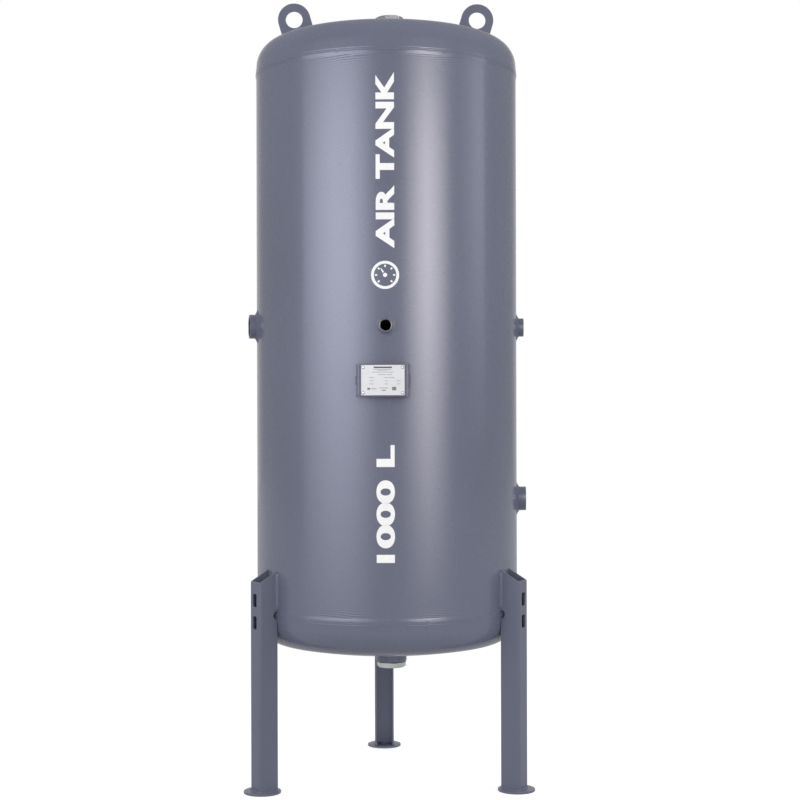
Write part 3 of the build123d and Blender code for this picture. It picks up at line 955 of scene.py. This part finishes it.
def leg(side, azimuth):
    """Folded channel, its beads on the shell, its foot plate and the bead on the foot."""
    made = remade(f"{side}_leg_channel", f"leg_{side}", 0.7 * MM, (SHADED_LEG_COAT, WEAR_AND_EDGE_HIGHLIGHT_COAT))
    place(made, [f"leg_{side}"])
    out, along = outward(azimuth), along_shell(azimuth)
    low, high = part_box(f"leg_{side}_weld")

    def route(flange, share, across, up):
        return on_shell(out, along, flange * (LEG_HALF_WIDTH + across), up, low, high, share)

    section = fillet_section(6 * MM, 6 * MM, -0.3 * MM)
    beads = bead_pair(route, high.z - low.z, section, 4 * MM, 0.4 * MM, azimuth)
    weld(f"{side}_leg_beads", beads, [f"leg_{side}_weld"])

    foot_low, foot_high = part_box(f"foot_{side}")
    centre = Vector(((foot_low.x + foot_high.x) / 2, (foot_low.y + foot_high.y) / 2, 0))
    hole = 9 * MM
    corners = [(FOOT_RADIUS, 0), (FOOT_RADIUS, FOOT_THICKNESS), (hole, FOOT_THICKNESS), (hole, 0)]
    disc = rounded(corners, 1.0 * MM, 3)
    made = lathe(f"{side}_foot_plate", disc, axes(centre, UP), 96, (SHADED_LEG_COAT,))
    place(made, [f"foot_{side}"])

    at, total = channel_contour()

    def base_route(share, across, up):
        u, radius, nu, nr = at(share)
        spot = out * (radius + nr * across) + along * (u + nu * across)
        return spot + UP * (FOOT_THICKNESS + up)

    section = fillet_section(4 * MM, 4 * MM, -0.2 * MM, sunk=0.8 * MM)
    made = bead(base_route, total, section, 3.5 * MM, 0.3 * MM, False, azimuth * 2)
    weld(f"{side}_foot_bead", [made], [f"foot_{side}_weld"])


# ---- nameplate ----

NAMEPLATE_AXES = outward(NAMEPLATE_AZIMUTH), along_shell(NAMEPLATE_AZIMUTH)
BRACKET_STAND_OFF = 18 * MM
PLATE_THICKNESS = 0.8 * MM
RIVET_X = 56.0 * MM
RIVET_Z = 36.25 * MM
RIVET_COLUMNS = 24
BOX_FACES = (0, 1, 2, 3), (4, 5, 6, 7), (0, 1, 5, 4), (1, 2, 6, 5), (2, 3, 7, 6), (3, 0, 4, 7)


def bracket():
    """Folded bracket and its tack welds."""
    made = remade("plate_bracket", "nameplate_bracket", 0.3 * MM, (FITTING_COAT, WEAR_AND_EDGE_HIGHLIGHT_COAT))
    place(made, ["nameplate_bracket"])
    out, along = NAMEPLATE_AXES
    low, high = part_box("nameplate_bracket_weld")
    wing, spread_back = 77.3 * MM, 0.25

    def route(side, share, across, up):
        u = wing - spread_back * up + across
        return on_shell(out, along, side * u, up, low, high, share)

    section = fillet_section(1.6 * MM, 1.6 * MM, 0.0, 4, 0.5 * MM)
    beads = bead_pair(route, high.z - low.z, section, 3 * MM, 0.25 * MM, 20)
    weld("bracket_tacks", beads, ["nameplate_bracket_weld"])


def data_plate():
    """The data plate, its four rivets, its printed form and a painted shadow ring round each
    rivet.
    """
    out, along = NAMEPLATE_AXES
    plate = remade("rating_plate", "data_plate", 0.12 * MM, (PLATE,), 1)
    place(plate, ["data_plate"])
    plate_low, plate_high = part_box("data_plate")
    face = SHELL_RADIUS + BRACKET_STAND_OFF + PLATE_THICKNESS
    middle = (plate_low.z + plate_high.z) / 2

    rivet_points, rivet_faces = [], []
    dome = [(0.4, 1.2), (1.4, 1.08), (2.3, 0.72), (2.85, 0.3), (3.0, 0.0), (1.6, 0.0)]
    dome = [(radius * MM, height * MM) for radius, height in dome + [(1.6, -3.4), (1.0, -3.7)]]
    spots = [
        out * face + along * (x * RIVET_X) + UP * (middle + z * RIVET_Z)
        for x in (-1, 1)
        for z in (-1, 1)
    ]
    columns = RIVET_COLUMNS
    for spot in spots:
        first = len(rivet_points)
        rivet_points += turned(dome, axes(spot, out), columns)
        rivet_faces += ring_faces(len(dome), columns, closed=False, first=first)
        last = len(rivet_points) - columns
        rivet_faces += [tuple(range(start, start + columns)) for start in (first, last)]
    rivets = make_piece("plate_rivets", rivet_points, rivet_faces, (ALUMINIUM,))
    place(rivets, ["data_plate_rivets"])

    # A generic form of bars, in millimetres: left, bottom, right, top, and which ink.
    bars = [(-26, 34.2, 26, 38.2, 0)]
    bars += [(-27, 29.6, 24, 31.2, 1), (-15, 27.0, 13, 28.2, 1), (-30, 21.8, 30, 23.6, 1)]
    bars += [(-14, 14.8, 8, 16.4, 1), (10, 14.8, 27, 16.4, 1)]
    for row, height in enumerate((6.2, -2.8, -11.6)):
        bars += [(-38, height, -38 + (14, 11, 13)[row], height + 1.6, 1)]
        bars += [((4, 6, 5)[row], height, (34, 14, 16)[row], height + 1.6, 1)]
        if row:
            bars += [(39, height, 51, height + 1.6, 1)]
    bars += [(-44, -27.5, -36, -21.5, 1), (-33, -25.6, -18, -23.4, 1)]
    bars += [(-10, -23.2, 16, -21.4, 1), (-3, -30.2, 9, -27.4, 0), (26, -29, 38, -19, 1)]
    points, faces, tones = [], [], []
    thick = 0.06 * MM
    for left, bottom, right, top, tone in bars:
        steps = max(1, round((right - left) / 2.6)) if top - bottom < 3 else 1
        for i in range(steps):
            x0 = left + (right - left) * i / steps
            x1 = left + (right - left) * (i + (0.78 if steps > 1 else 1)) / steps
            first = len(points)
            for depth in (0, thick):
                for x, z in ((x0, bottom), (x1, bottom), (x1, top), (x0, top)):
                    points.append(out * (face + depth) + along * (x * MM) + UP * (middle + z * MM))
            faces += [tuple(first + i for i in quad) for quad in BOX_FACES]
            tones += [tone] * len(BOX_FACES)
    # A grey ink ring round each rivet head: a painted shadow of the gap round the rivet.
    edge = [(3.1 * MM, 0), (4.6 * MM, 0), (4.6 * MM, thick), (3.1 * MM, thick)]
    for spot in spots:
        more = ring_faces(len(edge), columns, first=len(points))
        points += turned(edge, axes(spot, out), columns)
        faces += more
        tones += [1] * len(more)
    form = make_piece("plate_print_and_rivet_shadows", points, faces, (DARK_INK, GREY_INK))
    for polygon, tone in zip(form.data.polygons, tones):
        polygon.material_index = tone
    place(form)


# ---- markings ----

MARKING_HALF = 26.5 * MM
VINYL_THICKNESS = 0.18 * MM
LETTER_WEIGHT = 0.042


def wrap(name, form, low, high, half):
    """Wrap flat artwork on the shell: its x runs up from low to high, its y to the left."""
    xs, ys = [v.co.x for v in form.verts], [v.co.y for v in form.verts]
    x0, x1, y0, y1 = min(xs), max(xs), min(ys), max(ys)
    strips = 8
    for i in range(1, strips):
        geometry = list(form.verts) + list(form.edges) + list(form.faces)
        at = (0, y0 + (y1 - y0) * i / strips, 0)
        bmesh.ops.bisect_plane(form, geom=geometry, plane_co=at, plane_no=(0, 1, 0))
    flat = list(form.faces)
    raised = bmesh.ops.extrude_face_region(form, geom=flat, use_keep_orig=True)
    top = {v for v in raised["geom"] if isinstance(v, bmesh.types.BMVert)}
    for v in form.verts:
        z = low + (v.co.x - x0) / (x1 - x0) * (high - low)
        around = half - (v.co.y - y0) / (y1 - y0) * 2 * half
        azimuth = MARKING_AZIMUTH + around / SHELL_RADIUS * 180 / pi
        radius = SHELL_RADIUS + (VINYL_THICKNESS if v in top else -0.1 * MM)
        v.co = outward(azimuth) * radius + UP * z
    place(make_piece(name, form, materials=(VINYL,)))


def words(text):
    """Flat lettering in the built-in font, as a bmesh."""
    curve = bpy.data.curves.new("lettering", "FONT")
    curve.body = text
    curve.offset = LETTER_WEIGHT
    curve.resolution_u = 6
    holder = new_object("lettering", curve)
    graph = bpy.context.evaluated_depsgraph_get()
    mesh = bpy.data.meshes.new_from_object(holder.evaluated_get(graph))
    bpy.data.objects.remove(holder)
    form = bmesh.new()
    form.from_mesh(mesh)
    bmesh.ops.remove_doubles(form, verts=form.verts, dist=1e-4)
    return form


def dial():
    """A plain ring with marks and a needle, as a bmesh one unit across."""
    form = bmesh.new()

    def ring(inner, outer, start, end, steps):
        inside, outside = [], []
        for i in range(steps + 1):
            angle = radians(start + (end - start) * i / steps)
            inside.append(form.verts.new((cos(angle) * inner, sin(angle) * inner, 0)))
            outside.append(form.verts.new((cos(angle) * outer, sin(angle) * outer, 0)))
        for i in range(steps):
            form.faces.new((inside[i], inside[i + 1], outside[i + 1], outside[i]))

    ring(0.40, 0.50, 0, 360, 72)
    for angle in range(-135, 136, 45):
        ring(0.28, 0.36, angle - 5, angle + 5, 2)
    ring(0.001, 0.075, 0, 360, 24)
    tip, root = Vector((0.24, 0.16, 0)), Vector((0.09, 0.06, 0))
    across = Vector((-0.02, 0.03, 0))
    needle = [root - across, tip - across * 0.4, tip + across * 0.4, root + across]
    form.faces.new([form.verts.new(p) for p in needle])
    bmesh.ops.remove_doubles(form, verts=form.verts, dist=1e-4)
    return form


def markings():
    """Generic wording and a plain dial, one above the other."""
    wrap("air_tank_marking", words("AIR TANK"), 1.588, 2.089, MARKING_HALF)
    wrap("dial_marking", dial(), 1.472, 1.552, 40 * MM)
    wrap("capacity_marking", words("1000 L"), 0.693, 1.028, MARKING_HALF)


# ---- build ----

shell()
for end in ENDS:
    head(end)
    girth_weld(end)
    boss(end)
    boss_weld(end)
    seal(end)
    plug(end)
long_seam()
for port in PORTS:
    socket(port)
    socket_weld(port)
for side, sign in {"left": -1, "right": 1}.items():
    lug(side, sign)
for side, azimuth in LEG_AZIMUTHS.items():
    leg(side, azimuth)
bracket()
data_plate()
markings()

# ---- world, lights and floor ----

FILL_LOW, FILL_HIGH = 1.66, 0.92
ROOM, BEHIND = 0.3, 0.75
FLOOR_BOUNCE = 0.52
WHITE = (1, 1, 1, 1)
# Soft panels seen only as reflections. Each has the azimuths of its edges and of its
# bright middle, the same in height, how bright its left, right, lower and upper edges
# are beside the middle, the radiance there, and its tint.
COOL, WARM = (0.97, 0.985, 1.12), (1.04, 0.965, 0.99)
PANELS = {
    "left": ((-74, -45, -31, -9), (0.1, 1.75, 2.35, 2.92), (0.22, 0.0, 0.06, 0.4), 5.7, COOL),
    "right": ((11, 31, 32, 53), (0.25, 1.75, 2.3, 2.9), (0.0, 0.0, 0.0, 0.2), 10.4, WARM),
    "side": ((58, 80, 87, 88), (0.9, 2.2, 2.7, 2.95), (0.0, 1.0, 0.0, 0.6), 2.0, COOL),
}

scene.view_settings.view_transform = "Standard"
world = bpy.data.worlds.new("studio")
scene.world = world
world.use_nodes = True
sky = world.node_tree
path = sky.nodes.new("ShaderNodeLightPath")
ways = sky.nodes.new("ShaderNodeSeparateXYZ")
sky.links.new(sky.nodes.new("ShaderNodeTexCoord").outputs["Generated"], ways.inputs["Vector"])


def glow(axis, low, high, strength_low, strength_high):
    """White light whose strength changes with a direction's part along one axis."""
    part = ways.outputs[axis]
    if axis == "Z":
        part = computed(sky, "ABSOLUTE", part)
    change = spread(sky, part, strength_low, strength_high, low, high)
    made = node(sky, "ShaderNodeBackground", Color=WHITE)
    sky.links.new(change, made.inputs["Strength"])
    return made.outputs[0]


def choose(tree, which, otherwise, chosen):
    """One shader for rays of a kind, and another for the rest."""
    made = tree.nodes.new("ShaderNodeMixShader")
    tree.links.new(which, made.inputs[0])
    tree.links.new(otherwise, made.inputs[1])
    tree.links.new(chosen, made.inputs[2])
    return made.outputs[0]


fill = glow("Z", 0.35, 0.8, FILL_LOW, FILL_HIGH)
room = glow("Y", 0.8, 0.98, ROOM, BEHIND)
shaded = choose(sky, path.outputs["Is Glossy Ray"], fill, room)
plain = sky.nodes["Background"]
plain.inputs["Color"].default_value = WHITE
backdrop = choose(sky, path.outputs["Is Camera Ray"], shaded, plain.outputs[0])
sky.links.new(backdrop, sky.nodes["World Output"].inputs["Surface"])

PANEL_DISTANCE = 3.2


def falloff(tree, position, spots, edges):
    """Brightness across a panel: edge value, up to 1 in the middle, down to edge value."""
    start, rise, fall, end = spots
    parts = []
    for low, high, value_low, value_high in ((start, rise, edges[0], 1), (fall, end, 1, edges[1])):
        place_low, place_high = (low - start) / (end - start), (high - start) / (end - start)
        parts.append(spread(tree, position, value_low, value_high, place_low, place_high))
    return computed(tree, "MULTIPLY", *parts)


for name, (azimuths, heights, edges, radiance, tint) in PANELS.items():
    half = radians(azimuths[3] - azimuths[0]) / 2
    data = bpy.data.lights.new(name, "AREA")
    data.shape = "RECTANGLE"
    data.size = 2 * PANEL_DISTANCE * sin(half)
    data.size_y = heights[3] - heights[0]
    data.energy = radiance * pi * data.size * data.size_y
    data.color = tint
    data.use_nodes = True
    tree = data.node_tree
    spot = tree.nodes.new("ShaderNodeSeparateXYZ")
    surface = tree.nodes.new("ShaderNodeNewGeometry")
    tree.links.new(surface.outputs["Parametric"], spot.inputs["Vector"])
    across = falloff(tree, spot.outputs["X"], azimuths, edges[:2])
    upward = falloff(tree, spot.outputs["Y"], heights, edges[2:])
    strength = computed(tree, "MULTIPLY", across, upward)
    tree.links.new(strength, tree.nodes["Emission"].inputs["Strength"])
    light = new_object(name, data)
    middle = (azimuths[0] + azimuths[3]) / 2
    level = UP * (heights[0] + heights[3]) / 2
    light.location = outward(middle) * PANEL_DISTANCE * cos(half) + level
    light.rotation_euler = (radians(90), 0, radians(middle))
    light.visible_diffuse = False

# A narrow beam under the vessel opens up the rear leg.
beam_data = bpy.data.lights.new("beam", "SPOT")
beam_data.energy = 240
beam_data.spot_size = radians(6)
beam_data.spot_blend = 0.4
beam_data.shadow_soft_size = 0.1
beam = new_object("beam", beam_data)
beam.location = (0, -3.9, 0.25)
aim = Vector((0, 0.43, 0.17)) - beam.location
beam.rotation_euler = aim.to_track_quat("-Z", "Y").to_euler()
beam.visible_glossy = False

FLOOR_HALF = 15
mesh = bpy.data.meshes.new("floor")
corners = [(x * FLOOR_HALF, y * FLOOR_HALF, 0) for x, y in ((-1, -1), (1, -1), (1, 1), (-1, 1))]
mesh.from_pydata(corners, [], [(0, 1, 2, 3)])
ground = new_object("floor", mesh)
paper, tree, diffuse = new_material(
    "studio_floor",
    Base_Color=(0.3, 0.3, 0.3, 1),
    Roughness=1.0,
    Specular_IOR_Level=0.0,
    Emission_Color=WHITE,
    Emission_Strength=0.78,
)
bright = node(tree, "ShaderNodeEmission", Color=WHITE, Strength=1.02)
distance = node(tree, "ShaderNodeVectorMath")
distance.operation = "LENGTH"
tree.links.new(surface_coordinates(tree), distance.inputs[0])
edge = node(tree, "ShaderNodeMapRange", From_Min=0.6, From_Max=1.9)
edge.interpolation_type = "SMOOTHSTEP"
tree.links.new(distance.outputs["Value"], edge.inputs["Value"])
dim = node(tree, "ShaderNodeEmission", Color=WHITE, Strength=FLOOR_BOUNCE)
seen = choose(tree, edge.outputs["Result"], diffuse.outputs[0], bright.outputs[0])
looked_at = tree.nodes.new("ShaderNodeLightPath").outputs["Is Camera Ray"]
ground_light = choose(tree, looked_at, dim.outputs[0], seen)
from_below = tree.nodes.new("ShaderNodeNewGeometry").outputs["Backfacing"]
clear = tree.nodes.new("ShaderNodeBsdfTransparent")
ground_shader = choose(tree, from_below, ground_light, clear.outputs[0])
tree.links.new(ground_shader, tree.nodes["Material Output"].inputs["Surface"])
mesh.materials.append(paper)
